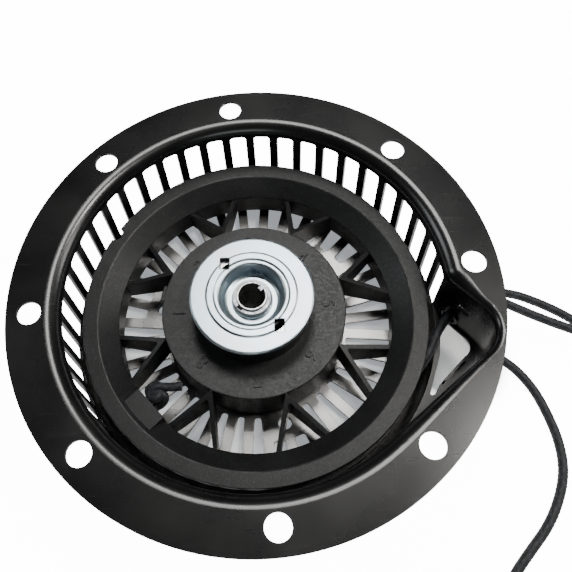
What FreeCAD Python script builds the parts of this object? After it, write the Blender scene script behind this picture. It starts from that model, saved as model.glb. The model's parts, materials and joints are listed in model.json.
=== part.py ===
import FreeCAD, Part
import math
import os
import Sketcher

Vector = FreeCAD.Vector
ORIGIN = Vector(0, 0, 0)
UP = Vector(0, 0, 1)

doc = FreeCAD.newDocument("recoil_starter")

# ---------------------------------------------------------------- driving dimensions
# Millimetres and degrees. Z is up from the surface that the three screw collars stand on,
# and the starter turns about Z. The flange faces up, towards the engine.
DIMENSIONS = {
    # housing
    "sheet_gauge": 1.6,
    "flange_radius": 116.15,
    "flange_level": 58.5,
    "floor_level": 3.0,
    "wall_radius": 91.0,
    "shoulder_radius": 7.0,
    "pocket_shoulder_radius": 3.6,
    "floor_bend": 6.0,
    "bolt_circle_radius": 105.0,
    "bolt_hole_radius": 5.75,
    "pocket_level": 18.4,
    "pocket_upper_distance": 69.3,
    "pocket_upper_angle": 42.1,
    "pocket_lower_angle": -51.7,
    "pocket_corner_radius": 14.0,
    "pocket_throat_radius": 10.0,
    "wall_slot_width": 8.4,
    "wall_slot_low": 14.5,
    "wall_slot_high": 52.0,
    "wall_slot_pitch": 8.0,
    "wall_slot_first": 5.6,
    "floor_slot_inner": 47.5,
    "floor_slot_outer": 83.0,
    "floor_bar_width": 5.2,
    "short_slot_inner": 60.0,
    "collar_circle_radius": 52.0,
    "collar_hole_radius": 3.4,
    "collar_radius": 5.2,
    # post and the stack on it
    "post_radius": 7.6,
    "post_bore_radius": 6.4,
    "post_top": 48.5,
    "arbor_radius": 11.5,
    "arbor_top": 27.5,
    "running_gap": 0.05,
    # pulley
    "hub_radius": 28.2,
    "hub_top": 48.4,
    "disc_radius": 46.0,
    "disc_top": 33.0,
    "disc_under": 28.5,
    "cup_wall": 2.8,
    "cup_low": 8.5,
    "hub_bore": 9.5,
    "hub_well_radius": 17.8,
    "hub_well_floor": 41.2,
    "rim_radius": 86.1,
    "ridge_radius": 78.5,
    "rim_top": 32.4,
    "rim_inner_radius": 69.2,
    "rim_inner_top": 25.3,
    "rim_low": 12.0,
    "groove_radius": 72.0,
    "groove_low": 15.6,
    "groove_high": 25.8,
    "lobe_radius": 50.0,
    "lobe_phase": 18.4,
    "rib_half_width": 1.1,
    "rib_spread": 10.2,
    # drive plate and pawls
    "plate_radius": 30.1,
    "plate_top": 50.9,
    "plate_gauge": 1.2,
    "plate_bead": 0.6,
    "plate_well_radius": 15.6,
    "plate_well_depth": 8.0,
    "plate_bore_radius": 9.2,
    "window_radius": 20.9,
    "window_angle": 127.8,
    "pawl_pivot_radius": 23.4,
    "pawl_low": 42.4,
    "pawl_high": 47.4,
    "pawl_pin_radius": 1.6,
    # rope
    "rope_radius": 2.4,
    "groove_rope_low": 18.3,
    "groove_rope_high": 23.1,
    "eyelet_level": 26.0,
}

sheet = doc.addObject("Spreadsheet::Sheet", "dims")
for row, (alias, value) in enumerate(DIMENSIONS.items(), start=1):
    sheet.set(f"A{row}", alias)
    sheet.set(f"B{row}", str(value))
    sheet.setAlias(f"B{row}", alias)
doc.recompute()


def linked(expression):
    """Return an expression in which each alias points at the sheet."""
    text = str(expression)
    for alias in sorted(DIMENSIONS, key=len, reverse=True):
        text = text.replace(alias, "@" + str(list(DIMENSIONS).index(alias)) + "@")
    for number, alias in enumerate(DIMENSIONS):
        text = text.replace(f"@{number}@", "dims." + alias)
    return text


def size(expression):
    """Return the number that an expression of the sheet's aliases gives."""
    result = sheet.evalExpression(linked(expression))
    return float(getattr(result, "Value", result))


def polar(radius, degrees, level=0.0):
    """Return the point at a radius and an angle round Z."""
    angle = math.radians(degrees)
    return Vector(radius * math.cos(angle), radius * math.sin(angle), level)


# ---------------------------------------------------------------- sketches and features
def new_body(name):
    """Make a PartDesign body whose label names its file."""
    body = doc.addObject("PartDesign::Body", name)
    body.Label = name
    body.AllowCompound = True
    body.Placement = FreeCAD.Placement()
    return body


def origin_feature(body, role):
    return next(item for item in body.Origin.OriginFeatures if item.Role == role)


def attach(sketch, body, plane, offset=0.0, swing=0.0):
    """Put a sketch on one of its body's planes, moved along its normal or swung about Z."""
    sketch.AttachmentSupport = [(origin_feature(body, plane), "")]
    sketch.MapMode = "FlatFace"
    sketch.AttachmentOffset = FreeCAD.Placement(
        Vector(0, 0, size(offset)), FreeCAD.Rotation(Vector(0, 1, 0), size(swing)))
    if offset != 0.0:
        sketch.setExpression(".AttachmentOffset.Base.z", linked(offset))


def pin_point(sketch, geometry, vertex, x_size, y_size):
    """Fix a vertex at distances from the sketch's origin that the sheet gives."""
    for kind, axis, expression in (("DistanceX", -2, x_size), ("DistanceY", -1, y_size)):
        value = size(expression)
        if abs(value) < 1e-9:
            sketch.addConstraint(Sketcher.Constraint("PointOnObject", geometry, vertex, axis))
        elif value > 0:
            row = sketch.addConstraint(Sketcher.Constraint(kind, -1, 1, geometry, vertex, value))
            sketch.setExpression(f"Constraints[{row}]", linked(expression))
        else:
            row = sketch.addConstraint(Sketcher.Constraint(kind, geometry, vertex, -1, 1, -value))
            sketch.setExpression(f"Constraints[{row}]", linked(f"-({expression})"))


def polygon(body, name, plane, corners, offset=0.0, swing=0.0):
    """Sketch a closed polygon. Each corner is (x, y) or (x, y, rounding radius)."""
    sketch = body.newObject("Sketcher::SketchObject", name)
    attach(sketch, body, plane, offset, swing)
    points = [Vector(size(corner[0]), size(corner[1]), 0) for corner in corners]
    radii = [size(corner[2]) if len(corner) > 2 else 0.0 for corner in corners]
    count = len(points)
    starts, ends, arcs = list(points), list(points), {}
    for here in range(count):
        if not radii[here]:
            continue
        before = (points[here - 1] - points[here]).normalize()
        after = (points[(here + 1) % count] - points[here]).normalize()
        half = before.getAngle(after) / 2
        reach = radii[here] / math.tan(half)
        centre = points[here] + (before + after).normalize() * (radii[here] / math.sin(half))
        ends[here] = points[here] + before * reach
        starts[here] = points[here] + after * reach
        middle = centre + (points[here] - centre).normalize() * radii[here]
        arcs[here] = Part.Arc(ends[here], middle, starts[here])
    lines = [sketch.addGeometry(Part.LineSegment(starts[side], ends[(side + 1) % count]))
             for side in range(count)]
    for here in range(count):
        coming, going = lines[here - 1], lines[here]
        if here not in arcs:
            sketch.addConstraint(Sketcher.Constraint("Coincident", coming, 2, going, 1))
            pin_point(sketch, going, 1, corners[here][0], corners[here][1])
            continue
        bend = sketch.addGeometry(arcs[here])
        curve = sketch.Geometry[bend]
        first = 1 if (curve.StartPoint - ends[here]).Length < 1e-6 else 2
        sketch.addConstraint(Sketcher.Constraint("Tangent", coming, 2, bend, first))
        sketch.addConstraint(Sketcher.Constraint("Tangent", going, 1, bend, 3 - first))
        row = sketch.addConstraint(Sketcher.Constraint("Radius", bend, radii[here]))
        sketch.setExpression(f"Constraints[{row}]", linked(corners[here][2]))
        vertex = sketch.addGeometry(Part.Point(points[here]), True)
        sketch.addConstraint(Sketcher.Constraint("PointOnObject", vertex, 1, coming))
        sketch.addConstraint(Sketcher.Constraint("PointOnObject", vertex, 1, going))
        pin_point(sketch, vertex, 1, corners[here][0], corners[here][1])
    return sketch


def circles(body, name, plane, rounds, offset=0.0):
    """Sketch circles, each (x, y, radius)."""
    sketch = body.newObject("Sketcher::SketchObject", name)
    attach(sketch, body, plane, offset)
    for x_size, y_size, radius in rounds:
        centre = Vector(size(x_size), size(y_size), 0)
        ring = sketch.addGeometry(Part.Circle(centre, UP, size(radius)))
        pin_point(sketch, ring, 3, x_size, y_size)
        row = sketch.addConstraint(Sketcher.Constraint("Radius", ring, size(radius)))
        sketch.setExpression(f"Constraints[{row}]", linked(radius))
    return sketch


def finish(body, feature):
    body.Tip = feature
    doc.recompute()
    return feature


def extrude(body, name, sketch, length, cut=False, reverse=False, middle=False):
    """Pad or pocket a sketch of the body."""
    feature = body.newObject("PartDesign::Pocket" if cut else "PartDesign::Pad", name)
    feature.Profile = sketch
    feature.setExpression("Length", linked(length))
    feature.Reversed = reverse
    if middle:
        feature.SideType = "Symmetric"
    return finish(body, feature)


def revolve(body, name, sketch, cut=False, angle=360, middle=False):
    """Turn a sketch of the XZ plane about Z."""
    feature = body.newObject("PartDesign::Groove" if cut else "PartDesign::Revolution", name)
    feature.Profile = sketch
    feature.ReferenceAxis = (sketch, ["V_Axis"])
    feature.Angle = angle
    feature.Midplane = middle
    return finish(body, feature)


def around(body, name, features, count, angle="360"):
    """Repeat features round Z."""
    pattern = body.newObject("PartDesign::PolarPattern", name)
    pattern.Originals = features
    pattern.Axis = (origin_feature(body, "Z_Axis"), [""])
    pattern.Angle = size(angle)
    pattern.Occurrences = count
    return finish(body, pattern)


def edges_where(shape, test):
    """Name the edges that a test accepts."""
    return [f"Edge{row}" for row, edge in enumerate(shape.Edges, start=1) if test(edge)]


def ring_at(radius, level, slack=0.02):
    """Make a test for a circle of a radius about Z at a level."""
    def test(edge):
        return (isinstance(edge.Curve, Part.Circle)
                and abs(edge.Curve.Radius - size(radius)) < slack
                and abs(edge.Curve.Center.z - size(level)) < slack)
    return test


def dress(body, name, kind, test, amount):
    """Fillet or chamfer the edges of the body's tip that a test accepts."""
    base = body.Tip
    names = edges_where(base.Shape, test)
    if not names:
        raise RuntimeError(f"{name}: no edge to dress")
    feature = body.newObject("PartDesign::" + kind, name)
    feature.Base = (base, names)
    feature.setExpression("Radius" if kind == "Fillet" else "Size", linked(amount))
    return finish(body, feature)


def turned(name, corners):
    """Make a round piece from its half section, (radius, level) points."""
    body = new_body(name)
    section = polygon(body, name + "_section", "XZ_Plane", corners)
    revolve(body, name + "_turning", section)
    return body


def joined(kind, name, base, tool):
    """Cut or fuse two objects of the document."""
    result = doc.addObject("Part::" + kind, name)
    result.Base = base
    result.Tool = tool
    result.Label = name
    doc.recompute()
    return result


def gathered(name, parts):
    """Group objects of the document as one compound."""
    compound = doc.addObject("Part::Compound", name)
    compound.Links = parts
    compound.Label = name
    doc.recompute()
    return compound


def rod(name, radius, length, place, direction=UP):
    """Make a cylinder that starts at a place and runs in a direction."""
    cylinder = doc.addObject("Part::Cylinder", name)
    cylinder.setExpression("Radius", linked(radius))
    cylinder.setExpression("Height", linked(length))
    cylinder.Placement = FreeCAD.Placement(place, FreeCAD.Rotation(UP, direction))
    cylinder.Label = name
    doc.recompute()
    return cylinder


def block(name, lengths, centre, degrees=0.0):
    """Make a box about a centre, turned about Z."""
    box = doc.addObject("Part::Box", name)
    for side, length in zip(("Length", "Width", "Height"), lengths):
        box.setExpression(side, linked(length))
    corner = Vector(*(-size(length) / 2 for length in lengths))
    turn = FreeCAD.Rotation(UP, degrees)
    box.Placement = FreeCAD.Placement(centre + turn.multVec(corner), turn)
    box.Label = name
    doc.recompute()
    return box


def wire_ring(name, major, minor, place, direction=UP):
    """Make a ring of round section."""
    torus = doc.addObject("Part::Torus", name)
    torus.setExpression("Radius1", linked(major))
    torus.setExpression("Radius2", linked(minor))
    torus.Placement = FreeCAD.Placement(place, FreeCAD.Rotation(UP, direction))
    torus.Label = name
    doc.recompute()
    return torus


def sector(name, corners, start, sweep):
    """Turn a half section through part of a circle, from a start angle."""
    body = new_body(name)
    section = polygon(body, name + "_section", "XZ_Plane", corners)
    revolve(body, name + "_turning", section, angle=sweep)
    body.Placement = FreeCAD.Placement(ORIGIN, FreeCAD.Rotation(UP, start))
    return body


def fused(name, parts):
    """Fuse objects of the document."""
    result = doc.addObject("Part::MultiFuse", name)
    result.Shapes = parts
    result.Label = name
    doc.recompute()
    return result


def shaped(name, shape):
    """Keep a shape that no feature makes, under the name of its file."""
    feature = doc.addObject("Part::Feature", name)
    feature.Shape = shape
    feature.Placement = FreeCAD.Placement()
    feature.Label = name
    return feature


# ---------------------------------------------------------------- housing
def pocket_outline(body, name, level, growth):
    """Sketch the bowl's outline with its rope pocket, grown outwards by growth."""
    radius = f"wall_radius + {growth}"
    distance = f"pocket_upper_distance + {growth}"
    corner = f"pocket_corner_radius + {growth}"
    throat = f"pocket_throat_radius - {growth}"
    wall, reach = size(radius), size(distance)
    bend, hollow = size(corner), size(throat)
    low, high = size("pocket_lower_angle"), size("pocket_upper_angle")
    normal_low, normal_high = polar(1, low), polar(1, high)
    along_high = polar(1, high - 90)
    twist = normal_low.x * normal_high.y - normal_low.y * normal_high.x
    inset_low, inset_high = wall - bend, reach - bend
    centre = Vector((inset_low * normal_high.y - inset_high * normal_low.y) / twist,
                    (inset_high * normal_low.x - inset_low * normal_high.x) / twist, 0)
    throat_reach = reach + hollow
    throat_centre = (normal_high * throat_reach
                     + along_high * math.sqrt((wall + hollow) ** 2 - throat_reach ** 2))
    tangent_low = normal_low * wall
    corner_low = centre + normal_low * bend
    corner_high = centre + normal_high * bend
    throat_line = throat_centre - normal_high * hollow
    throat_wall = throat_centre * (wall / (wall + hollow))

    def arc(middle, size_of, first, last):
        start = math.atan2(first.y - middle.y, first.x - middle.x)
        stop = math.atan2(last.y - middle.y, last.x - middle.x)
        if stop < start:
            stop += 2 * math.pi
        return Part.ArcOfCircle(Part.Circle(middle, UP, size_of), start, stop)

    sketch = body.newObject("Sketcher::SketchObject", name)
    attach(sketch, body, "XY_Plane", level)
    lower = sketch.addGeometry(Part.LineSegment(tangent_low, corner_low))
    turn = sketch.addGeometry(arc(centre, bend, corner_low, corner_high))
    upper = sketch.addGeometry(Part.LineSegment(corner_high, throat_line))
    inlet = sketch.addGeometry(arc(throat_centre, hollow, throat_wall, throat_line))
    bowl = sketch.addGeometry(arc(ORIGIN, wall, throat_wall, tangent_low))
    rule = Sketcher.Constraint
    for constraint in (rule("Tangent", lower, 2, turn, 1), rule("Tangent", turn, 2, upper, 1),
                       rule("Tangent", upper, 2, inlet, 2), rule("Tangent", inlet, 1, bowl, 1),
                       rule("Tangent", bowl, 2, lower, 1), rule("Coincident", bowl, 3, -1, 1)):
        sketch.addConstraint(constraint)
    for kind, geometry, expression in (("Radius", bowl, radius), ("Radius", turn, corner),
                                       ("Radius", inlet, throat)):
        row = sketch.addConstraint(rule(kind, geometry, size(expression)))
        sketch.setExpression(f"Constraints[{row}]", linked(expression))
    row = sketch.addConstraint(rule("Distance", -1, 1, upper, reach))
    sketch.setExpression(f"Constraints[{row}]", linked(distance))
    sketch.addConstraint(rule("Angle", lower, math.radians(low + 90)))
    sketch.addConstraint(rule("Angle", upper, math.radians(high + 90)))
    return sketch


def rolled_edges(solid, level, growth):
    """List a bowl outline's edges at a level with the roll radius at each end."""
    wide, tight = size("shoulder_radius"), size("pocket_shoulder_radius")
    change = -size("sheet_gauge") if growth else 0.0
    wall = size("wall_radius") + growth
    corner_radius = size("pocket_corner_radius") + growth
    found = []
    for row, edge in enumerate(solid.Edges, start=1):
        box = edge.BoundBox
        if abs(box.ZMin - level) > 0.01 or abs(box.ZMax - level) > 0.01:
            continue
        round_edge = isinstance(edge.Curve, Part.Circle)
        if round_edge and abs(edge.Curve.Radius - wall) < 0.01:
            radii = (wide, wide)
        elif round_edge and abs(edge.Curve.Radius - corner_radius) < 0.01:
            radii = (tight, tight)
        elif round_edge and abs(edge.Curve.Radius - size("pocket_throat_radius") + growth) < 0.01:
            radii = (wide, wide)
        elif round_edge:
            continue
        else:
            near = edge.valueAt(edge.FirstParameter)
            far = edge.valueAt(edge.LastParameter)
            near_corner = max(near.Length, far.Length) == near.Length
            radii = (tight, wide) if near_corner else (wide, tight)
        found.append((row, radii[0] + change, radii[1] + change))
    return found


def make_bowl():
    """Draw the stamped bowl: outside solid, then its hollow, both with the rope pocket."""
    body = new_body("housing_bowl")
    base = circles(body, "bowl_base", "XY_Plane", [(0, 0, "wall_radius + sheet_gauge")],
                   offset="floor_level")
    extrude(body, "bowl_outside", base, "flange_level - floor_level - sheet_gauge")
    outside = pocket_outline(body, "pocket_outside", "pocket_level", size("sheet_gauge"))
    extrude(body, "pocket_block", outside, "flange_level - pocket_level - sheet_gauge")
    flange = circles(body, "flange_plate", "XY_Plane", [(0, 0, "flange_radius")],
                     offset="flange_level - sheet_gauge")
    extrude(body, "flange_pad", flange, "sheet_gauge")
    hollow = circles(body, "bowl_hollow", "XY_Plane", [(0, 0, "wall_radius")],
                     offset="flange_level")
    extrude(body, "bowl_inside", hollow, "flange_level - floor_level - sheet_gauge", cut=True)
    inside = pocket_outline(body, "pocket_inside", "flange_level", 0)
    extrude(body, "pocket_inside_cut", inside, "flange_level - pocket_level - sheet_gauge",
            cut=True)
    dress(body, "floor_bend_inside", "Fillet",
          ring_at("wall_radius", "floor_level + sheet_gauge"), "floor_bend")
    dress(body, "floor_bend_outside", "Fillet", ring_at("wall_radius + sheet_gauge", "floor_level"),
          "floor_bend + sheet_gauge")
    return body


def roll_shoulders(bowl):
    """Roll the flange into the wall: wide round the bowl, tighter round the pocket."""
    top = doc.addObject("Part::Fillet", "rolled_top")
    top.Base = bowl
    top.Edges = rolled_edges(bowl.Shape, size("flange_level"), 0.0)
    doc.recompute()
    under = doc.addObject("Part::Fillet", "rolled_under")
    under.Base = top
    under.Edges = rolled_edges(top.Shape, size("flange_level - sheet_gauge"), size("sheet_gauge"))
    doc.recompute()
    return under


# The rope's outlet is in the pocket's upper wall, which is flat. Its normal stands at the
# wall's angle, and the eyelet and the slit above it sit at these distances along it.
WALL_NORMAL = polar(1, size("pocket_upper_angle"))
WALL_ALONG = polar(1, size("pocket_upper_angle") - 90)
EYELET_ALONG = 68.2
SLIT_ALONG = 73.5
SLIT_LEVEL = 40.0


def on_pocket_wall(out, level, along=EYELET_ALONG):
    """Return a point by its distances out from the wall's inner face, up and along it."""
    reach = size("pocket_upper_distance") + out
    return WALL_NORMAL * reach + WALL_ALONG * along + UP * level


def slot_half(radius):
    """Return a floor slot's half width at a radius, so that the bars stay parallel."""
    return f"{radius} * tan(5) - floor_bar_width / 2"


def floor_slot(body, name, inner, outer, angle):
    """Sketch one wedge slot of the floor, square to X before its body is turned."""
    return polygon(body, name, "XY_Plane", [
        (inner, f"-({slot_half(inner)})", 1.3), (outer, f"-({slot_half(outer)})", 1.5),
        (outer, slot_half(outer), 1.5), (inner, slot_half(inner), 1.3)])


def make_housing():
    """Pierce the rolled bowl and add what is drawn up or down from its sheet."""
    rolled = roll_shoulders(make_bowl())
    gauge = size("sheet_gauge")
    depth = 12

    long_slots = new_body("long_slots")
    shape = floor_slot(long_slots, "long_slot", "floor_slot_inner", "floor_slot_outer", 0)
    pad = extrude(long_slots, "long_slot_pad", shape, depth, middle=True)
    around(long_slots, "long_slot_ring", [pad], 36)
    slotted = joined("Cut", "slotted_bowl", rolled, long_slots)

    pads = new_body("collar_pads")
    inner, outer = 46.0, 66.0
    side = math.radians(10)
    shape = polygon(pads, "pad_outline", "XY_Plane", [
        (inner * math.cos(side), -inner * math.sin(side)),
        (outer * math.cos(side), -outer * math.sin(side)),
        (outer * math.cos(side), outer * math.sin(side)),
        (inner * math.cos(side), inner * math.sin(side))], offset="floor_level")
    pad = extrude(pads, "pad_sheet", shape, "sheet_gauge")
    around(pads, "pad_ring", [pad], 3)
    collars = new_body("collars")
    shape = circles(collars, "collar_outline", "XY_Plane",
                    [("collar_circle_radius", 0, "collar_radius")])
    pad = extrude(collars, "collar", shape, "floor_level + sheet_gauge")
    around(collars, "collar_ring", [pad], 3)
    for body in (pads, collars):
        body.Placement = FreeCAD.Placement(ORIGIN, FreeCAD.Rotation(UP, 45))

    # A low guard stands along the hole in the pocket's floor.
    guard_angle = 43.6
    guard = block("rope_guard", (17, 1.2, 4.4),
                  Vector(96.6, -31.2, size("pocket_level") + gauge + 1.4), guard_angle)
    filled = doc.addObject("Part::MultiFuse", "filled_bowl")
    filled.Shapes = [slotted, pads, collars, guard]
    doc.recompute()

    short_slots = new_body("short_slots")
    start, stop = "short_slot_inner", "70"
    shape = floor_slot(short_slots, "short_slot", start, stop, 0)
    pad = extrude(short_slots, "short_slot_pad", shape, depth, middle=True)
    pair = around(short_slots, "short_slot_ring", [pad], 36)
    short_slots.Placement = FreeCAD.Placement(ORIGIN, FreeCAD.Rotation(UP, 0))

    wall_slots = new_body("wall_slots")
    half = "wall_slot_width / 2"
    shape = polygon(wall_slots, "wall_slot", "YZ_Plane", [
        (f"-{half}", "wall_slot_low", 1.8), (half, "wall_slot_low", 1.8),
        (half, "wall_slot_high", 1.8), (f"-{half}", "wall_slot_high", 1.8)],
        offset="wall_radius - 6")
    pad = extrude(wall_slots, "wall_slot_pad", shape, depth)
    slot_count = 34
    around(wall_slots, "wall_slot_ring", [pad], slot_count,
           f"wall_slot_pitch * {slot_count - 1}")
    wall_slots.Placement = FreeCAD.Placement(
        ORIGIN, FreeCAD.Rotation(UP, size("wall_slot_first")))

    bolt_holes = new_body("bolt_holes")
    first, second = polar(size("bolt_circle_radius"), 5), polar(size("bolt_circle_radius"), 45)
    shape = circles(bolt_holes, "bolt_hole_pair", "XY_Plane", [
        (first.x, first.y, "bolt_hole_radius"), (second.x, second.y, "bolt_hole_radius")],
        offset="flange_level - sheet_gauge - 5")
    pad = extrude(bolt_holes, "bolt_hole_pad", shape, depth)
    around(bolt_holes, "bolt_hole_ring", [pad], 4)

    screw_holes = new_body("screw_holes")
    shape = circles(screw_holes, "screw_hole", "XY_Plane",
                    [("collar_circle_radius", 0, "collar_hole_radius")])
    pad = extrude(screw_holes, "screw_hole_pad", shape, 2 * depth, middle=True)
    around(screw_holes, "screw_hole_ring", [pad], 3)
    screw_holes.Placement = FreeCAD.Placement(ORIGIN, FreeCAD.Rotation(UP, 45))

    pocket_hole = new_body("pocket_hole")
    shape = polygon(pocket_hole, "pocket_hole_outline", "XY_Plane", [
        (93.9, -5.2, 1.0), (90.9, -23.1), (83.2, -43.4, 0.8), (86.0, -42.2), (88.6, -38.0),
        (108.7, -18.85, 6.0), (95.6, -4.5, 0.8)], offset="pocket_level - 4")
    extrude(pocket_hole, "pocket_hole_pad", shape, 9)

    slit = block("outlet_slit", (8, 5.9, 4.4), on_pocket_wall(gauge / 2, SLIT_LEVEL, SLIT_ALONG),
                 size("pocket_upper_angle"))
    outlet = rod("outlet_hole", 4.65, 10, on_pocket_wall(-5, size("eyelet_level")), WALL_NORMAL)
    post_hole = rod("post_hole", "post_radius + running_gap", depth, ORIGIN)
    tools = gathered("housing_tools", [pair_cut(short_slots), wall_slots, bolt_holes,
                                       screw_holes, pocket_hole, slit, outlet, post_hole])
    return joined("Cut", "housing", filled, tools)


def pair_cut(ring):
    """Keep only the short slots that stand on the three pads."""
    keep = new_body("short_slot_places")
    shape = polygon(keep, "short_slot_place", "XY_Plane", [
        (50, -11), (76, -13.2), (76, 13.2), (50, 11)])
    pad = extrude(keep, "short_slot_place_pad", shape, 16, middle=True)
    around(keep, "short_slot_place_ring", [pad], 3)
    keep.Placement = FreeCAD.Placement(ORIGIN, FreeCAD.Rotation(UP, 45))
    common = doc.addObject("Part::Common", "short_slot_tools")
    common.Base = ring
    common.Tool = keep
    doc.recompute()
    return common


# ---------------------------------------------------------------- post and its stack
def make_post():
    """The post is a tube swaged over under the floor, with a foot above it."""
    stock = turned("post_stock", [
        ("post_bore_radius", 0.9), (9.4, 0.9), (9.4, 1.7), ("post_radius", 1.7),
        ("post_radius", "floor_level + sheet_gauge"), (14, "floor_level + sheet_gauge"),
        (14, "floor_level + sheet_gauge + 2"), ("post_radius", "floor_level + sheet_gauge + 2"),
        ("post_radius", 46.15), (7.2, 46.15), (7.2, 47.25), ("post_radius", 47.25),
        ("post_radius", "post_top", 0.5), ("post_bore_radius", "post_top", 0.5)])
    notch = block("post_notch", (4, 2.6, 4), polar(7, 43, 48.4), 43)
    return joined("Cut", "centre_post", stock, notch)


def make_retaining_ring():
    """A snap ring, open opposite a tang that drops into the post's notch."""
    stock = turned("ring_stock", [(7.25, 46.2), (9.2, 46.2), (9.2, 47.2), (7.25, 47.2)])
    tang = block("ring_tang", (3.7, 2.2, 1.0), polar(6.95, 43, 47.3), 43)
    gap = block("ring_gap", (4, 3, 4), polar(8.2, 223, 46.7), 223)
    return joined("Cut", "retaining_ring", fused("ring_with_tang", [stock, tang]), gap)


def make_recoil_spring():
    """The flat coil is a run of half circles, each a half pitch wider than the last."""
    pitch, gauge, start, halves = 2.6, 0.7, 12.2, 22
    low, high = 9.5, 23.5
    outline = []
    for side, growth in ((0, 0.0), (1, gauge)):
        arcs = []
        for half in range(halves):
            centre = Vector(-pitch / 4 if half % 2 == 0 else pitch / 4, 0, low)
            circle = Part.Circle(centre, UP, start + half * pitch / 2 + growth)
            first = math.pi * (half % 2)
            arcs.append(Part.ArcOfCircle(circle, first, first + math.pi).toShape())
        outline.append(arcs)
    ends = [Part.makeLine(outline[0][0].Vertexes[0].Point, outline[1][0].Vertexes[0].Point),
            Part.makeLine(outline[0][-1].Vertexes[-1].Point, outline[1][-1].Vertexes[-1].Point)]
    wire = Part.Wire(Part.__sortEdges__(outline[0] + outline[1] + ends))
    return shaped("recoil_spring", Part.Face(wire).extrude(UP * (high - low)))


centre_post = make_post()
spring_arbor = turned("spring_arbor", [
    ("post_radius + running_gap", "floor_level + sheet_gauge + 2"),
    ("arbor_radius", "floor_level + sheet_gauge + 2"), ("arbor_radius", "arbor_top", 0.6),
    ("post_radius + running_gap", "arbor_top")])
post_washer = turned("post_washer", [
    ("post_radius + 0.1", 1.7), (16, 1.7, 0.4), (16, "floor_level"),
    ("post_radius + 0.1", "floor_level")])
thrust_washer = turned("thrust_washer", [
    ("post_radius + running_gap", "arbor_top"), (13, "arbor_top"), (13, 28.4),
    ("post_radius + running_gap", 28.4)])
brake_washer = turned("brake_washer", [
    ("post_radius + running_gap", 43.3), (10, 43.3), (10, 44.3, 0.3),
    ("post_radius + running_gap", 44.3)])
brake_spring = wire_ring("brake_spring", 8.85, 0.95, Vector(0, 0, 45.25))
retaining_ring = make_retaining_ring()
recoil_spring = make_recoil_spring()


# ---------------------------------------------------------------- pulley
def make_spider():
    """Cut the pulley's web into eight V-shaped pairs of ribs."""
    spider = new_body("spider")
    section = polygon(spider, "spider_section", "XZ_Plane", [
        (44, 14), (71, "rim_low"), (71, 24), ("disc_radius", "disc_top"), (44, "disc_top")])
    revolve(spider, "spider_turning", section)
    near, far = polar(size("lobe_radius"), 1.6), polar(size("rim_inner_radius"),
                                                       size("rib_spread"))
    along = (far - near).normalize()
    beside = Vector(-along.y, along.x, 0)
    half = size("rib_half_width")
    phase = size("lobe_phase")

    # The narrow window lies between a pair's ribs, the wide one between two pairs.
    inner = near - beside * half
    apex = inner - along * (inner.y / along.y)
    mouth = inner + along * ((75 - inner.x) / along.x)
    narrow = polygon(spider, "narrow_window", "XY_Plane", [
        (apex.x, 0, 0.9), (mouth.x, -mouth.y), (mouth.x, mouth.y)])
    narrow_cut = extrude(spider, "narrow_window_cut", narrow, 80, cut=True, middle=True)
    side = near + beside * half
    root, tip = side - along * 7.5, side + along * 26
    opposite = FreeCAD.Rotation(UP, 45)
    far_root = opposite.multVec(Vector(root.x, -root.y, 0))
    far_tip = opposite.multVec(Vector(tip.x, -tip.y, 0))
    wide = polygon(spider, "wide_window", "XY_Plane", [
        (root.x, root.y), (tip.x, tip.y), (far_tip.x, far_tip.y), (far_root.x, far_root.y)])
    wide_cut = extrude(spider, "wide_window_cut", wide, 80, cut=True, middle=True)
    around(spider, "narrow_windows", [narrow_cut], 8)
    around(spider, "wide_windows", [wide_cut], 8)
    spider.Placement = FreeCAD.Placement(ORIGIN, FreeCAD.Rotation(UP, phase))
    return spider


# The two pawls stand opposite each other, at these angles round the hub.
PAWL_ANGLES = (-85, 95)
BOSS_ANGLE = -137.4


def make_pulley():
    """Join hub, disc, spring cup, ribs and grooved rim, then cut what is let into them."""
    hub = turned("hub_and_cup", [
        ("hub_bore", "disc_under"), ("disc_radius - cup_wall", "disc_under"),
        ("disc_radius - cup_wall", "cup_low"), ("disc_radius", "cup_low"),
        ("disc_radius", "disc_top", 0.5), ("hub_radius", "disc_top"),
        ("hub_radius", "hub_top", 0.8), ("hub_well_radius", "hub_top"),
        ("hub_well_radius", "hub_well_floor"), ("hub_bore", "hub_well_floor")])
    rim = turned("rim", [
        ("rim_inner_radius", "rim_low"), ("rim_radius", "rim_low"), ("rim_radius", 14.6),
        ("groove_radius", "groove_low"), ("groove_radius", "groove_high"), (74, 25.8),
        ("rim_radius", 30), ("rim_radius", "rim_top", 0.5), ("ridge_radius", "rim_top", 1.5),
        ("rim_inner_radius", "rim_inner_top", 0.5)])
    boss_low = block("boss_low", (4.4, 19, 19), polar(69.7, BOSS_ANGLE, 21.5), BOSS_ANGLE)
    boss_high = block("boss_high", (9.5, 19, 4.8), polar(72.25, BOSS_ANGLE, 28.6), BOSS_ANGLE)
    tab = sector("disc_tab", [(45.5, 22), (47.3, 22), (47.3, "disc_top + 0.4", 0.4),
                              (45.5, "disc_top + 0.4", 0.4)], 163, 10)
    stock = fused("pulley_stock", [make_spider(), hub, rim, boss_low, boss_high, tab])
    tools = [rod("rim_notch", 4, 10, polar(86.6, 147.75, 24)),
             rod("rope_hole", 2.9, 16, polar(60, BOSS_ANGLE, 20.7), polar(1, BOSS_ANGLE))]
    for row, angle in enumerate(PAWL_ANGLES):
        tools.append(sector(f"pawl_room_{row}", [(18.9, 42.1), (30, 42.1), (30, 50),
                                                 (18.9, 50)], angle - 12, 88))
        tools.append(rod(f"pin_hole_{row}", "pawl_pin_radius", 8,
                         polar(size("pawl_pivot_radius"), angle, 37)))
    return joined("Cut", "pulley", stock, gathered("pulley_tools", tools))


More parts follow.
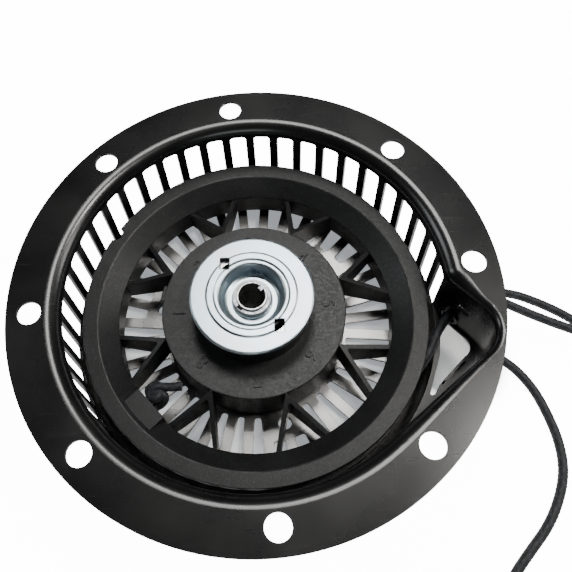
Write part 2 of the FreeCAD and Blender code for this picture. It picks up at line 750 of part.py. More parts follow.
def make_pawl(name, angle):
    """A pawl is a curved bar with an eye at one end and a bevelled tip at the other."""
    pivot = polar(size("pawl_pivot_radius"), angle, size("pawl_low"))
    bar = sector(name + "_bar", [(21.4, "pawl_low"), (27.6, "pawl_low", 0.4),
                                 (27.6, "pawl_high", 0.4), (21.4, "pawl_high")], angle, 70)
    eye = rod(name + "_eye", 4.1, "pawl_high - pawl_low", pivot)
    bore = rod(name + "_bore", "pawl_pin_radius + running_gap", 9, pivot - UP * 2)
    bevel = block(name + "_bevel", (8, 8, 8), polar(21.6, angle + 72.5, 45), angle + 30)
    return joined("Cut", name, fused(name + "_solid", [bar, eye]),
                  gathered(name + "_tools", [bore, bevel]))


def make_drive_plate():
    """A pressed cup with a deep well, a raised bead round it and a turned-down edge."""
    under = "plate_top - plate_gauge"
    floor = "plate_top - plate_well_depth"
    plate = turned("plate_pressing", [
        ("plate_radius", "plate_top - 2"), ("plate_radius", "plate_top", 1.0),
        (22.2, "plate_top"), (21.4, "plate_top + plate_bead"), (18.6, "plate_top + plate_bead"),
        (17.8, "plate_top"), ("plate_well_radius", "plate_top", 1.6),
        (14.0, floor + " + 1.5"), (13.4, floor + " + 0.45"), (12.3, floor),
        ("plate_bore_radius", floor), ("plate_bore_radius", floor + " - plate_gauge"),
        (12.8, floor + " - plate_gauge"), (14.2, floor + " - 0.7"), (15.0, floor + " + 0.5"),
        (16.8, under),
        ("plate_radius - plate_gauge", under), ("plate_radius - plate_gauge",
                                                "plate_top - 2")])
    windows = [block(f"plate_window_{row}", (4.7, 6.3, 8),
                     polar(size("window_radius"), size("window_angle") - turn,
                           size("plate_top")), -2.7)
               for row, turn in enumerate((0, 180))]
    return joined("Cut", "drive_plate", plate, gathered("plate_tools", windows))


pulley = make_pulley()
pulley_bushing = turned("pulley_bushing", [
    ("post_radius + running_gap", 28.6), ("hub_bore", 28.6), ("hub_bore", "hub_well_floor"),
    ("post_radius + running_gap", "hub_well_floor")])
spring_keeper = turned("spring_keeper", [
    ("disc_radius - cup_wall", 8.6), ("disc_radius - cup_wall", 28.4), (42.3, 28.4),
    (42.3, 9.4), (38, 9.4), (38, 8.6)])
wound_rope = gathered("wound_rope", [
    wire_ring("wound_low", "groove_radius + rope_radius + 0.05", "rope_radius - 0.05",
              Vector(0, 0, size("groove_rope_low"))),
    wire_ring("wound_high", "groove_radius + rope_radius + 0.05", "rope_radius - 0.05",
              Vector(0, 0, size("groove_rope_high")))])
pawl_pins = gathered("pawl_pins", [
    rod(f"pawl_pin_{row}", "pawl_pin_radius", 10.9,
        polar(size("pawl_pivot_radius"), angle, 37.2)) for row, angle in enumerate(PAWL_ANGLES)])
pawl_springs = gathered("pawl_springs", [
    wire_ring(f"pawl_spring_{row}", "pawl_pin_radius + 0.4", 0.4,
              polar(size("pawl_pivot_radius"), angle, 47.9))
    for row, angle in enumerate(PAWL_ANGLES)])
pawl_a = make_pawl("pawl_a", PAWL_ANGLES[0])
pawl_b = make_pawl("pawl_b", PAWL_ANGLES[1])
drive_plate = make_drive_plate()


# ---------------------------------------------------------------- rope
def tube(name, points, radius):
    """Sweep a round section along straight runs joined by tangent arcs."""
    edges, here, tightest = [], points[0], 1e9
    for before, corner, after in zip(points, points[1:], points[2:]):
        back, ahead = before - corner, after - corner
        half_turn = (math.pi - back.getAngle(ahead)) / 2
        reach = 0.45 * min(back.Length, ahead.Length)
        bend = reach / math.tan(half_turn)
        start = corner + back.normalize() * reach
        stop = corner + ahead.normalize() * reach
        towards = (back + ahead).normalize()
        middle = corner + towards * (bend / math.cos(half_turn) - bend)
        edges.append(Part.makeLine(here, start))
        edges.append(Part.Arc(start, middle, stop).toShape())
        here, tightest = stop, min(tightest, bend)
    edges.append(Part.makeLine(here, points[-1]))
    path = Part.Wire(edges)
    section = Part.Wire(Part.Circle(points[0], points[1] - points[0], radius).toShape())
    swept = path.makePipeShell([section], True, False)
    expected = path.Length * math.pi * radius * radius
    print(f"{name}: length {path.Length:.1f}, tightest bend {tightest:.1f}, "
          f"volume {swept.Volume / expected:.4f} of section x length")
    return shaped(name, swept)


rope_size = size("rope_radius")
leaves = polar(size("groove_radius + 3 * rope_radius + 0.75"), -42.1, size("groove_rope_high"))
outlet = on_pocket_wall(3.6, size("eyelet_level"))
rope_run = tube("rope_run", [
    leaves, Vector(84.5, -25, 23.1), Vector(90, -12.5, 24.2),
    on_pocket_wall(0, size("eyelet_level")), outlet], rope_size)
starter_rope = tube("starter_rope", [
    outlet, Vector(106.5, 4.3, 25.6), Vector(113, 7, 24), Vector(121, 6.6, 21.3),
    Vector(130, 3.2, 17.5),
    Vector(145.5, -2.6, 13), Vector(160.8, -8.9, 11.5), Vector(174, -14, 11),
    Vector(189, -18.5, 10), Vector(204, -24.5, 5), Vector(217, -34.5, 2.6),
    Vector(222.5, -50, 2.4), Vector(213.5, -64, 2.4), Vector(197.5, -66.2, 2.4),
    Vector(188, -54, 2.4), Vector(185.3, -40, 2.4), Vector(183.3, -26, 2.4),
    Vector(177, -11, 2.4), Vector(165.5, 0.6, 2.4), Vector(151.2, 9.9, 2.4),
    Vector(136.5, 16.5, 2.4), Vector(121.5, 17.5, 2.4), Vector(110.6, 7.3, 2.4),
    Vector(111, -6, 2.4), Vector(119, -16, 2.4), Vector(130, -23.5, 2.4),
    Vector(138, -35, 2.4), Vector(142.3, -47.5, 2.4), Vector(145.2, -61, 2.4),
    Vector(145, -74.5, 2.4), Vector(140.5, -87, 2.4), Vector(132.5, -100, 2.4),
    Vector(120.5, -112, 2.4), Vector(110.5, -123, 2.4), Vector(107.2, -134, 5.6),
    Vector(106, -145.5, 11), Vector(106, -173, 11)], rope_size)

# The rope's inner end comes through the rim's boss and is knotted in the wide window.
knot_place = polar(58.5, -139.5, 21.5)
rope_knot = fused("rope_knot", [
    wire_ring("knot_turn", 4.2, "rope_radius - 0.1", knot_place,
              polar(1, BOSS_ANGLE + 35, 0.55)),
    wire_ring("knot_turn_across", 3.4, "rope_radius - 0.1", knot_place + UP * 0.8,
              polar(1, BOSS_ANGLE - 50, 0.35)),
    rod("knot_lead", "rope_radius - 0.1", 8.5, polar(62.3, BOSS_ANGLE, 20.7),
        polar(1, BOSS_ANGLE)),
    rod("knot_tail", "rope_radius - 0.1", 9.5, knot_place + Vector(1.5, 1.5, 2.0),
        Vector(0.66, -0.35, 0.42))])


def make_eyelet():
    """The eyelet is riveted through the pocket's wall."""
    gauge = "sheet_gauge"
    eyelet = turned("rope_eyelet", [
        (3.4, -1.5, 1.2), (5.5, -1.5, 0.6), (5.5, 0), (4.6, 0), (4.6, gauge),
        (5.6, gauge), (5.6, "sheet_gauge + 1.6", 0.8), (3.4, "sheet_gauge + 1.6", 1.2)])
    eyelet.Placement = FreeCAD.Placement(on_pocket_wall(0, size("eyelet_level")),
                                         FreeCAD.Rotation(UP, WALL_NORMAL))
    return eyelet


def make_handle():
    """The grip is a turned bar, bored across for the rope and its ferrule."""
    centre = Vector(106, -170, 11)
    bar = turned("grip_bar", [
        (0, -47.5), (9.8, -47.5, 4), (11, -24), (10.2, 0), (11, 24), (9.8, 47.5, 4),
        (0, 47.5)])
    bar.Placement = FreeCAD.Placement(centre, FreeCAD.Rotation(UP, Vector(1, 0, 0)))
    back = Vector(0, -1, 0)
    tools = gathered("grip_tools", [
        rod("grip_bore", 2.9, 40, centre - back * 20, back),
        rod("grip_socket", 6.55, 10, centre - back * 18.2, back),
        rod("grip_recess", 7.0, 10, centre + back * 3.2, back)])
    ferrule = turned("handle_ferrule", [
        (3.0, 0), (6.5, 0), (6.5, 6), (5.2, 12.5, 0.6), (3.0, 12.5, 0.8)])
    ferrule.Placement = FreeCAD.Placement(centre - back * 8.2, FreeCAD.Rotation(UP, -back))
    knot = fused("handle_knot", [
        wire_ring("stop_turn", 2.9, "rope_radius - 0.1", centre + back * 5.8, back),
        wire_ring("stop_turn_across", 2.4, "rope_radius - 0.2", centre + back * 8.0,
                  Vector(0.5, -1, 0.4))])
    return joined("Cut", "handle_grip", bar, tools), ferrule, knot


rope_eyelet = make_eyelet()
handle_grip, handle_ferrule, handle_knot = make_handle()
housing = make_housing()

# ---------------------------------------------------------------- checks and files
for item in doc.Objects:
    if "Invalid" in item.State or "Error" in item.State:
        raise RuntimeError(f"{item.Label}: {item.State}")

PIECES = (housing, centre_post, spring_arbor, post_washer, rope_eyelet, recoil_spring, rope_run,
          retaining_ring, brake_washer, brake_spring, thrust_washer, pulley, pulley_bushing,
          spring_keeper, wound_rope, rope_knot, pawl_pins, pawl_springs, drive_plate, pawl_a,
          pawl_b, starter_rope, handle_grip, handle_ferrule, handle_knot)
os.makedirs("parts", exist_ok=True)
for piece in PIECES:
    for number, solid in enumerate(piece.Shape.Solids or [None]):
        if solid is None or solid.isNull() or not solid.isValid():
            raise RuntimeError(f"{piece.Label}: solid {number} is not valid")
    box = piece.Shape.BoundBox
    print(f"{piece.Label}: {len(piece.Shape.Solids)} solid(s), {piece.Shape.Volume:.0f} mm3, "
          f"z {box.ZMin:.1f} to {box.ZMax:.1f}")
    piece.Shape.exportStep(f"parts/{piece.Label}.step")
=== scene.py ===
"""The look of the recoil starter: materials, braided rope, numerals, light and camera."""
import json
import math

import bmesh
import bpy
from mathutils import Matrix, Vector


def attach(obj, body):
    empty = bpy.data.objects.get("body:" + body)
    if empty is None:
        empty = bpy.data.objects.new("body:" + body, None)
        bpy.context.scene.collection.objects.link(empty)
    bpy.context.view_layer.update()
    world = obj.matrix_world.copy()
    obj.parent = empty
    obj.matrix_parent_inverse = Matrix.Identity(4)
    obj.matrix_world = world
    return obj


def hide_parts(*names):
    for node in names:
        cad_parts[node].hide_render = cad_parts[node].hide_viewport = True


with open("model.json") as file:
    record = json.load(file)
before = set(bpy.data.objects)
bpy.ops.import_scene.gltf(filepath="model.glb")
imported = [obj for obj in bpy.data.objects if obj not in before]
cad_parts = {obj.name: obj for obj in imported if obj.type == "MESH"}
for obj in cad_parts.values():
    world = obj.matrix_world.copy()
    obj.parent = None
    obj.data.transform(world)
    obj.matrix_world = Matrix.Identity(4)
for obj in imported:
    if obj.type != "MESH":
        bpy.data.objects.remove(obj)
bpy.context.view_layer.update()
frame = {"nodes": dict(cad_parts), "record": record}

MM = 0.001
nodes = frame["nodes"]
scene = bpy.context.scene


def mm(*values):
    return Vector(values) * MM


def polar(radius, degrees, level=0.0):
    """A point at a radius and level in millimetres, and an angle round Z."""
    angle = math.radians(degrees)
    return mm(radius * math.cos(angle), radius * math.sin(angle), level)


# ---------------------------------------------------------------- materials
class Tree:
    """A material and short ways to add nodes to it."""

    def __init__(self, name, colour, roughness, metallic=0.0, **settings):
        self.material = bpy.data.materials.new(name)
        self.material.use_nodes = True
        self.nodes = self.material.node_tree.nodes
        self.links = self.material.node_tree.links
        self.shader = self.nodes["Principled BSDF"]
        values = {"Base Color": (*colour, 1.0), "Roughness": roughness, "Metallic": metallic}
        values.update({key.replace("_", " "): value for key, value in settings.items()})
        for socket, value in values.items():
            self.shader.inputs[socket].default_value = value

    def add(self, kind, **inputs):
        node = self.nodes.new(kind)
        for name, value in inputs.items():
            self.feed(node.inputs[name.replace("_", " ")], value)
        return node

    def feed(self, socket, value):
        if isinstance(value, bpy.types.NodeSocket):
            self.links.new(value, socket)
        else:
            socket.default_value = value

    def place(self):
        return self.add("ShaderNodeTexCoord").outputs["Object"]

    def noise(self, scale, detail=3.0, stretch=None, roughness=0.5):
        vector = self.place()
        if stretch:
            mapping = self.add("ShaderNodeMapping", Vector=vector)
            mapping.inputs["Scale"].default_value = stretch
            vector = mapping.outputs["Vector"]
        node = self.add("ShaderNodeTexNoise", Vector=vector, Scale=scale, Detail=detail,
                        Roughness=roughness)
        return node.outputs["Fac"]

    def radius(self):
        """Distance from the pulley's axis, in metres."""
        split = self.add("ShaderNodeSeparateXYZ", Vector=self.place())
        x, y = split.outputs["X"], split.outputs["Y"]
        return self.math("SQRT", self.math("ADD", self.math("MULTIPLY", x, x),
                                           self.math("MULTIPLY", y, y)))

    def math(self, operation, first, second=None, third=None):
        node = self.nodes.new("ShaderNodeMath")
        node.operation = operation
        for socket, value in zip(node.inputs, (first, second, third)):
            if value is not None:
                self.feed(socket, value)
        return node.outputs[0]

    def ramp(self, factor, *stops):
        """Map a factor to colours or greys given as (position, value)."""
        node = self.add("ShaderNodeValToRGB", Fac=factor)
        ramp = node.color_ramp
        while len(ramp.elements) < len(stops):
            ramp.elements.new(0.5)
        for element, (position, value) in zip(ramp.elements, stops):
            element.position = position
            element.color = (*value, 1.0) if isinstance(value, tuple) else (value,) * 3 + (1.0,)
        return node.outputs["Color"]

    def mix(self, factor, first, second, blend="MIX"):
        node = self.nodes.new("ShaderNodeMix")
        node.data_type = "RGBA"
        node.blend_type = blend
        self.feed(node.inputs["Factor"], factor)
        self.feed(node.inputs["A"], first if not isinstance(first, tuple) else (*first, 1.0))
        self.feed(node.inputs["B"], second if not isinstance(second, tuple) else (*second, 1.0))
        return node.outputs["Result"]

    def bump(self, *layers, edge=0.0):
        """Chain (height, strength, distance in mm) bumps, over edges rounded by edge mm."""
        normal = None
        if edge:
            bevel = self.add("ShaderNodeBevel", Radius=edge * MM)
            bevel.samples = 4
            normal = bevel.outputs["Normal"]
        for height, strength, distance in layers:
            node = self.add("ShaderNodeBump", Height=height, Strength=strength,
                            Distance=distance * MM)
            if normal is not None:
                self.links.new(normal, node.inputs["Normal"])
            normal = node.outputs["Normal"]
        self.links.new(normal, self.shader.inputs["Normal"])

    def set(self, socket, value):
        self.feed(self.shader.inputs[socket], value)


def black_enamel():
    """Stove enamel on steel: deep black gloss, faint dust and rubs, and a painted reflection that
    makes the bowl's floor a lighter metallic grey.
    """
    tree = Tree("black_enamel", (0.005, 0.005, 0.0055), 0.3, Coat_Weight=0.35,
                Coat_Roughness=0.16)
    cloud = tree.noise(28, 4)
    dust = tree.noise(1400, 2)
    rubs = tree.noise(60, 6, (1.0, 9.0, 3.0))
    level = tree.add("ShaderNodeSeparateXYZ", Vector=tree.place()).outputs["Z"]
    # Painted reflection: from 9.5 mm down to 5.2 mm the black turns to a metallic grey that
    # stands in for the glossy floor's reflection.
    painted_floor_reflection = tree.ramp(level, (0.0052, 1.0), (0.0095, 0.0))
    black = tree.mix(tree.ramp(dust, (0.68, 0.0), (0.78, 0.35)),
                     tree.ramp(cloud, (0.3, (0.0035, 0.0036, 0.004)),
                               (0.7, (0.007, 0.007, 0.007))),
                     (0.03, 0.029, 0.028))
    tree.set("Base Color", tree.mix(painted_floor_reflection, black, tree.ramp(cloud, (0.3, (0.34, 0.335, 0.325)),
                                                           (0.7, (0.50, 0.495, 0.485)))))
    tree.set("Metallic", tree.math("MULTIPLY", painted_floor_reflection, 0.6))
    tree.set("Roughness", tree.math("ADD", tree.ramp(cloud, (0.3, 0.24), (0.75, 0.33)),
                                    tree.ramp(rubs, (0.62, 0.0), (0.8, 0.08))))
    tree.bump((tree.noise(520, 2), 0.05, 0.08), (tree.noise(2600, 2), 0.03, 0.03), edge=0.5)
    return tree.material


def glass_nylon():
    """Moulded nylon with glass fibre: black, finely speckled, satin on the bright side."""
    tree = Tree("glass_nylon", (0.01, 0.01, 0.011), 0.45, Specular_IOR_Level=0.38)
    speck, grain, cloud = tree.noise(1900, 3), tree.noise(750, 5), tree.noise(45, 5)
    base = tree.ramp(cloud, (0.3, (0.006, 0.0062, 0.0065)), (0.7, (0.014, 0.0145, 0.015)))
    tree.set("Base Color", tree.mix(tree.ramp(speck, (0.56, 0.0), (0.74, 0.6)), base,
                                    (0.06, 0.062, 0.064)))
    tree.set("Roughness", tree.ramp(grain, (0.3, 0.34), (0.7, 0.52)))
    rings = tree.math("SINE", tree.math("MULTIPLY", tree.radius(), 5200.0))
    tree.bump((grain, 0.25, 0.12), (speck, 0.2, 0.06), (rings, 0.05, 0.03), edge=0.35)
    return tree.material


def zinc_steel():
    """Blue-white zinc plate, satin, with hair scratches and faint spinning lines."""
    tree = Tree("zinc_steel", (0.6, 0.68, 0.72), 0.3, 1.0)
    cloud, hair = tree.noise(45, 3), tree.noise(300, 4, (1.0, 14.0, 1.0))
    tree.set("Base Color", tree.ramp(cloud, (0.25, (0.36, 0.43, 0.48)), (0.5, (0.44, 0.51, 0.55)),
                                     (0.78, (0.50, 0.53, 0.53))))
    tree.set("Roughness", tree.math("ADD", tree.ramp(cloud, (0.3, 0.26), (0.7, 0.33)),
                                    tree.ramp(hair, (0.6, 0.0), (0.75, 0.07))))
    rings = tree.math("SINE", tree.math("MULTIPLY", tree.radius(), 9000.0))
    tree.bump((tree.noise(1500, 2), 0.05, 0.02), (rings, 0.03, 0.015), edge=0.7)
    return tree.material


def bare_steel(name, colour, roughness):
    """Turned or drawn steel with tool lines and slight staining."""
    tree = Tree(name, colour, roughness, 1.0)
    stain, lines = tree.noise(160, 4), tree.noise(900, 3, (1.0, 1.0, 12.0))
    dark = tuple(channel * 0.55 for channel in colour)
    tree.set("Base Color", tree.ramp(stain, (0.25, dark), (0.6, colour)))
    tree.set("Roughness", tree.ramp(lines, (0.3, roughness - 0.08), (0.7, roughness + 0.12)))
    tree.bump((lines, 0.1, 0.04), edge=0.2)
    return tree.material


def plain_moulding(name, colour, roughness):
    """A moulded or cast surface with a fine grain."""
    tree = Tree(name, colour, roughness)
    grain, cloud = tree.noise(900, 4), tree.noise(60, 3)
    dark = tuple(channel * 0.75 for channel in colour)
    tree.set("Base Color", tree.ramp(cloud, (0.3, dark), (0.7, colour)))
    tree.set("Roughness", tree.ramp(grain, (0.3, roughness - 0.06), (0.7, roughness + 0.1)))
    tree.bump((grain, 0.2, 0.08), edge=0.4)
    return tree.material


def braid_material():
    """Polyester braid: near-black yarn with slate flecks and the fine twist of its strands."""
    tree = Tree("braided_rope", (0.02, 0.024, 0.032), 0.62, Sheen_Weight=0.15,
                Sheen_Roughness=0.4)
    fleck = tree.add("ShaderNodeAttribute")
    fleck.attribute_name = "fleck"
    twist = tree.noise(2600, 2, (1.0, 1.0, 1.0))
    cloud = tree.noise(240, 3)
    yarn = tree.ramp(cloud, (0.3, (0.006, 0.007, 0.009)), (0.7, (0.013, 0.0145, 0.018)))
    tree.set("Base Color", tree.mix(tree.math("MULTIPLY", fleck.outputs["Fac"],
                                              tree.ramp(twist, (0.35, 0.35), (0.7, 1.0))),
                                    yarn, (0.034, 0.040, 0.050)))
    tree.bump((twist, 0.5, 0.10))
    return tree.material


MATERIALS = {
    "black_enamel": black_enamel(),
    "glass_nylon": glass_nylon(),
    "zinc_steel": zinc_steel(),
    "turned_steel": bare_steel("turned_steel", (0.60, 0.60, 0.59), 0.26),
    "spring_steel": bare_steel("spring_steel", (0.30, 0.31, 0.33), 0.34),
    "bronze": bare_steel("bronze", (0.50, 0.36, 0.19), 0.36),
    "white_nylon": plain_moulding("white_nylon", (0.72, 0.71, 0.67), 0.45),
    "black_rubber": plain_moulding("black_rubber", (0.022, 0.022, 0.024), 0.42),
    "rope": braid_material(),
}
SLOT_OF = {row["node"]: row["material_slot"] for row in frame["record"]["subparts"]}


def finish_mesh(piece, material):
    piece.data.materials.clear()
    piece.data.materials.append(MATERIALS[material])


for name, node in nodes.items():
    finish_mesh(node, SLOT_OF[name])


# ---------------------------------------------------------------- braided rope
CARRIERS = 8
PITCH = 19.0 * MM


def braid_height(turn, along):
    """Height from -1 to 1 of the braid at a part turn and a length, and its fleck."""
    first = CARRIERS * turn + CARRIERS * along / PITCH
    second = CARRIERS * turn - CARRIERS * along / PITCH
    row, column = round(first), round(second)
    over_first = math.cos(math.pi * (second - column)) * (1 if (row + column) % 2 else -1)
    height_first = math.cos(math.pi * (first - row)) * (0.55 + 0.45 * over_first)
    height_second = math.cos(math.pi * (second - column)) * (
        0.55 - 0.45 * math.cos(math.pi * (first - row)) * (1 if (row + column) % 2 else -1))
    if height_first > height_second:
        return height_first, 1.0 if row % 4 == 0 else 0.0
    return height_second, 1.0 if column % 4 == 2 else 0.0


def resample(points, step, closed):
    """Points of a polyline at even steps."""
    loop = points + points[:1] if closed else points
    lengths = [0.0]
    for near, far in zip(loop, loop[1:]):
        lengths.append(lengths[-1] + (far - near).length)
    count = max(8, round(lengths[-1] / step))
    found, leg = [], 0
    for number in range(count if closed else count + 1):
        reach = lengths[-1] * number / count
        while leg < len(loop) - 2 and lengths[leg + 1] < reach:
            leg += 1
        part = (reach - lengths[leg]) / max(lengths[leg + 1] - lengths[leg], 1e-12)
        found.append(loop[leg].lerp(loop[leg + 1], min(part, 1.0)))
    return found, lengths[-1]


def rope_tube(name, points, radius, body, closed=False, sides=40, step=0.45 * MM):
    """A braided tube along a path, whose strands stand out of its surface."""
    path, length = resample(points, step, closed)
    count = len(path)
    relief = 0.13 * radius
    mesh_edit = bmesh.new()
    fleck = mesh_edit.verts.layers.float.new("fleck")
    tangents = []
    for row in range(count):
        if closed:
            ahead, behind = path[(row + 1) % count], path[row - 1]
        else:
            ahead, behind = path[min(row + 1, count - 1)], path[max(row - 1, 0)]
        tangents.append((ahead - behind).normalized())
    side = tangents[0].orthogonal().normalized()
    rings = []
    for row, (centre, tangent) in enumerate(zip(path, tangents)):
        side = (side - tangent * side.dot(tangent)).normalized()
        across = tangent.cross(side)
        along = length * row / (count if closed else count - 1)
        if closed:
            # a whole number of pitches, so the braid meets itself
            along *= round(length / PITCH) * PITCH / length
        ring = []
        for spoke in range(sides):
            turn = spoke / sides
            height, shade = braid_height(turn, along)
            reach = radius - relief * (1 - height) * 0.5
            angle = 2 * math.pi * turn
            vertex = mesh_edit.verts.new(
                centre + (side * math.cos(angle) + across * math.sin(angle)) * reach)
            vertex[fleck] = shade
            ring.append(vertex)
        rings.append(ring)
    pairs = list(zip(rings, rings[1:])) + ([(rings[-1], rings[0])] if closed else [])
    for near, far in pairs:
        for spoke in range(sides):
            other = (spoke + 1) % sides
            mesh_edit.faces.new((near[spoke], near[other], far[other], far[spoke]))
    if not closed:
        mesh_edit.faces.new(list(reversed(rings[0])))
        mesh_edit.faces.new(rings[-1])
    mesh = bpy.data.meshes.new(name)
    mesh_edit.to_mesh(mesh)
    mesh_edit.free()
    mesh.shade_smooth()
    piece = bpy.data.objects.new(name, mesh)
    scene.collection.objects.link(piece)
    finish_mesh(piece, "rope")
    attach(piece, body)
    return piece


def spline_points(name, route, resolution=24):
    """Points of the smooth spline that a route's points control."""
    curve = bpy.data.curves.new(name + "_line", "CURVE")
    curve.dimensions = "3D"
    curve.resolution_u = resolution
    spline = curve.splines.new("NURBS")
    spline.points.add(len(route) - 1)
    for point, place in zip(spline.points, route):
        point.co = (*place, 1.0)
    spline.order_u = 3
    spline.use_endpoint_u = True
    line = bpy.data.objects.new(name + "_line", curve)
    scene.collection.objects.link(line)
    bpy.context.view_layer.update()
    mesh = bpy.data.meshes.new_from_object(line)
    points = [vertex.co.copy() for vertex in mesh.vertices]
    bpy.data.objects.remove(line)
    bpy.data.curves.remove(curve)
    bpy.data.meshes.remove(mesh)
    return points


ROPE_RADIUS = 2.4 * MM
OUTLET = mm(99.81, -1.73, 26.0)
ROUTE = [OUTLET] + [mm(*point) for point in (
    (106.5, 4.3, 25.6), (113, 7, 24), (121, 6.6, 21.3), (130, 3.2, 17.5), (145.5, -2.6, 13),
    (160.8, -8.9, 11.5),
    (174, -14, 11), (189, -18.5, 10), (204, -24.5, 5), (217, -34.5, 2.6), (222.5, -50, 2.4),
    (213.5, -64, 2.4), (197.5, -66.2, 2.4), (188, -54, 2.4), (185.3, -40, 2.4),
    (183.3, -26, 2.4), (177, -11, 2.4), (165.5, 0.6, 2.4), (151.2, 9.9, 2.4),
    (136.5, 16.5, 2.4), (121.5, 17.5, 2.4), (110.6, 7.3, 2.4), (111, -6, 2.4),
    (119, -16, 2.4), (130, -23.5, 2.4), (138, -35, 2.4), (142.3, -47.5, 2.4),
    (145.2, -61, 2.4), (145, -74.5, 2.4), (140.5, -87, 2.4), (132.5, -100, 2.4),
    (120.5, -112, 2.4), (110.5, -123, 2.4), (107.2, -134, 5.6), (106, -145.5, 11),
    (106, -173, 11))]
route_line = spline_points("starter_rope", ROUTE)
free_rope = rope_tube("free_rope", route_line, ROPE_RADIUS, "root")
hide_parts("starter_rope")

INNER_ROUTE = [polar(79.95, -42.1, 23.1), mm(84.5, -25, 23.1), mm(90, -12.5, 24.2),
               mm(97.14, -4.14, 26), OUTLET]
inner_run = rope_tube("inner_run", spline_points("rope_run", INNER_ROUTE), ROPE_RADIUS, "root")
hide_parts("rope_run")

# Two turns lie in the pulley's groove, on this radius and at these levels in millimetres.
WOUND_RADIUS = 74.45
for label, level in (("low", 18.3), ("high", 23.1)):
    ring = [polar(WOUND_RADIUS, angle, level) for angle in range(0, 360, 3)]
    rope_tube(f"wound_turn_{label}", ring, 2.35 * MM, "pulley", closed=True,
                           sides=24, step=0.9 * MM)
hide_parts("wound_rope")

# The rope's inner end: through the boss, round itself twice, and out to a cut tail.
KNOT_ROUTE = [polar(68, -137.4, 20.7), polar(65, -137.2, 20.7), mm(-45.6, -44.0, 22.5),
              mm(-43.4, -41.6, 25.5), mm(-46.4, -39.6, 27.5), mm(-51.6, -40.4, 26.0),
              mm(-52.6, -36.6, 23.5), mm(-48.6, -34.6, 24.0), mm(-45.2, -38.4, 27.0),
              mm(-47.6, -43.6, 28.4), mm(-51.4, -42.4, 25.4), mm(-51.0, -37.4, 27.4),
              mm(-46.0, -37.2, 28.0), mm(-40.5, -37.6, 28.0), mm(-35.6, -37.4, 28.4)]
knot = rope_tube("end_knot", spline_points("rope_knot", KNOT_ROUTE), 2.2 * MM, "pulley",
                 sides=32, step=0.4 * MM)
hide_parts("rope_knot")

# ---------------------------------------------------------------- index numerals
NUMERAL_HEIGHT = 6.4 * MM
NUMERAL_CIRCLE, NUMERAL_LEVEL = 37.0, 33.12
NUMERAL_START, NUMERAL_PITCH = -178, 45
SIZE_PER_HEIGHT = 1.38


def numeral_mesh(text, height):
    """A raised numeral, centred, standing on its own z = 0."""
    letters = bpy.data.curves.new("numeral_" + text, "FONT")
    letters.body = text
    letters.size = height * SIZE_PER_HEIGHT
    letters.extrude = 0.34 * MM
    letters.bevel_depth = 0.07 * MM
    letters.offset = 0.04 * MM
    letters.align_x = "CENTER"
    letters.align_y = "CENTER"
    holder = bpy.data.objects.new("numeral_" + text, letters)
    scene.collection.objects.link(holder)
    bpy.context.view_layer.update()
    mesh = bpy.data.meshes.new_from_object(holder)
    bpy.data.objects.remove(holder)
    bpy.data.curves.remove(letters)
    return mesh


# They count clockwise, with their tops outwards.
numeral_edit = bmesh.new()
for number in range(1, 9):
    mesh = numeral_mesh(str(number), NUMERAL_HEIGHT)
    azimuth = NUMERAL_START + NUMERAL_PITCH * (9 - number)
    turn = Matrix.Rotation(math.radians(azimuth - 90), 4, "Z")
    place = polar(NUMERAL_CIRCLE, azimuth, NUMERAL_LEVEL)
    mesh.transform(Matrix.Translation(place) @ turn)
    numeral_edit.from_mesh(mesh)
    bpy.data.meshes.remove(mesh)
bmesh.ops.remove_doubles(numeral_edit, verts=numeral_edit.verts[:], dist=1e-6)
numeral_data = bpy.data.meshes.new("disc_numerals")
numeral_edit.to_mesh(numeral_data)
numeral_edit.free()
numerals = bpy.data.objects.new("disc_numerals", numeral_data)
scene.collection.objects.link(numerals)
finish_mesh(numerals, "glass_nylon")
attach(numerals, "pulley")

# ---------------------------------------------------------------- camera
CAMERA_PLACE = mm(13.92, -137.88, 363.62)
FOCAL_PIXELS, FRAME_PIXELS = 713.89, 572
SENSOR_WIDTH = 36
camera_data = bpy.data.cameras.new("camera")
camera_data.sensor_width = SENSOR_WIDTH
camera_data.lens = SENSOR_WIDTH * FOCAL_PIXELS / FRAME_PIXELS
camera_data.shift_x = 0.0825
camera_data.shift_y = -0.0957
camera_data.clip_start = 0.01
camera = bpy.data.objects.new("camera", camera_data)
scene.collection.objects.link(camera)
looks = (Matrix.Rotation(-0.0774, 3, "Y") @ Matrix.Rotation(-0.5004, 3, "X")).transposed()
turned = Matrix.Rotation(math.radians(-2.68), 3, "Z") @ looks
camera.matrix_world = Matrix.Translation(CAMERA_PLACE) @ turned.to_4x4()
scene.camera = camera

# ---------------------------------------------------------------- floor and light
floor_mesh = bpy.data.meshes.new("floor")
FLOOR_REACH = 3.0
floor_mesh.from_pydata([(x * FLOOR_REACH, y * FLOOR_REACH, 0)
                        for x, y in ((-1, -1), (1, -1), (1, 1), (-1, 1))], [], [(0, 1, 2, 3)])
floor = bpy.data.objects.new("floor", floor_mesh)
floor.location.z = -0.0002
scene.collection.objects.link(floor)
floor_tree = Tree("floor", (0.92, 0.92, 0.92), 0.7)
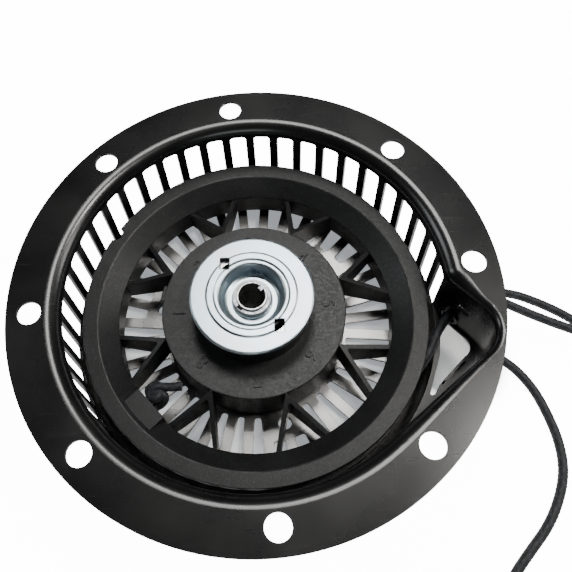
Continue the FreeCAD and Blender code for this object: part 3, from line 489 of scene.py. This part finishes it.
# It glows like a light table, with painted shadow: the glow is dimmed under the bowl and under
# its pocket.
painted_shadow_under_bowl = floor_tree.ramp(floor_tree.radius(), (0.012, 0.0), (0.03, (0.024, 0.0255, 0.027)),
                             (0.084, (0.024, 0.0255, 0.027)), (0.094, 1.0))
shade = floor_tree.add("ShaderNodeVectorMath", Vector=floor_tree.place())
shade.operation = "DISTANCE"
shade.inputs[1].default_value = (0.101, -0.017, 0)
# Painted shadow under the pocket: the glow falls off within 22 to 32 mm of this point.
painted_shadow_under_pocket = floor_tree.ramp(shade.outputs["Value"], (0.022, (0.009, 0.0098, 0.0104)),
                               (0.032, 1.0))
floor_tree.set("Emission Color", floor_tree.mix(1.0, painted_shadow_under_bowl, painted_shadow_under_pocket, "DARKEN"))
# Only the camera sees the full glow, so that it doesn't light the rope from below.
SEEN_GLOW = 13.0
seen = floor_tree.add("ShaderNodeLightPath").outputs["Is Camera Ray"]
floor_tree.set("Emission Strength", floor_tree.math("MULTIPLY_ADD", seen, SEEN_GLOW, 1.0))
floor_mesh.materials.append(floor_tree.material)

world = bpy.data.worlds.new("world")
world.use_nodes = True
world.node_tree.nodes["Background"].inputs["Color"].default_value = (0.95, 0.97, 1.0, 1.0)
world.node_tree.nodes["Background"].inputs["Strength"].default_value = 0.025
scene.world = world


def softbox(name, place, target, size, power, colour=(1, 1, 1)):
    light = bpy.data.lights.new(name, "AREA")
    light.shape = "RECTANGLE"
    light.size, light.size_y = size
    light.energy = power
    light.color = colour
    lamp = bpy.data.objects.new(name, light)
    lamp.location = place
    lamp.rotation_euler = (Vector(place) - Vector(target)).to_track_quat("Z", "Y").to_euler()
    scene.collection.objects.link(lamp)
    return lamp


softbox("overhead", (0.03, 0.44, 1.15), (0.0, 0.0, 0.05), (0.34, 0.34), 6, (1, 0.99, 0.97))
softbox("sheen", (0.52, 0.08, 1.05), (0.11, -0.07, 0.05), (0.26, 0.26), 6, (1, 0.975, 0.93))
softbox("right", (0.95, 0.20, 0.70), (0.08, -0.02, 0.03), (0.3, 0.5), 3.5, (1, 0.985, 0.96))
softbox("left", (-0.90, 0.25, 0.75), (-0.03, 0, 0.03), (0.3, 0.5), 2, (0.95, 0.98, 1))
softbox("front", (0.05, -0.95, 0.55), (0, -0.05, 0.03), (0.5, 0.25), 1.2, (0.95, 0.98, 1))
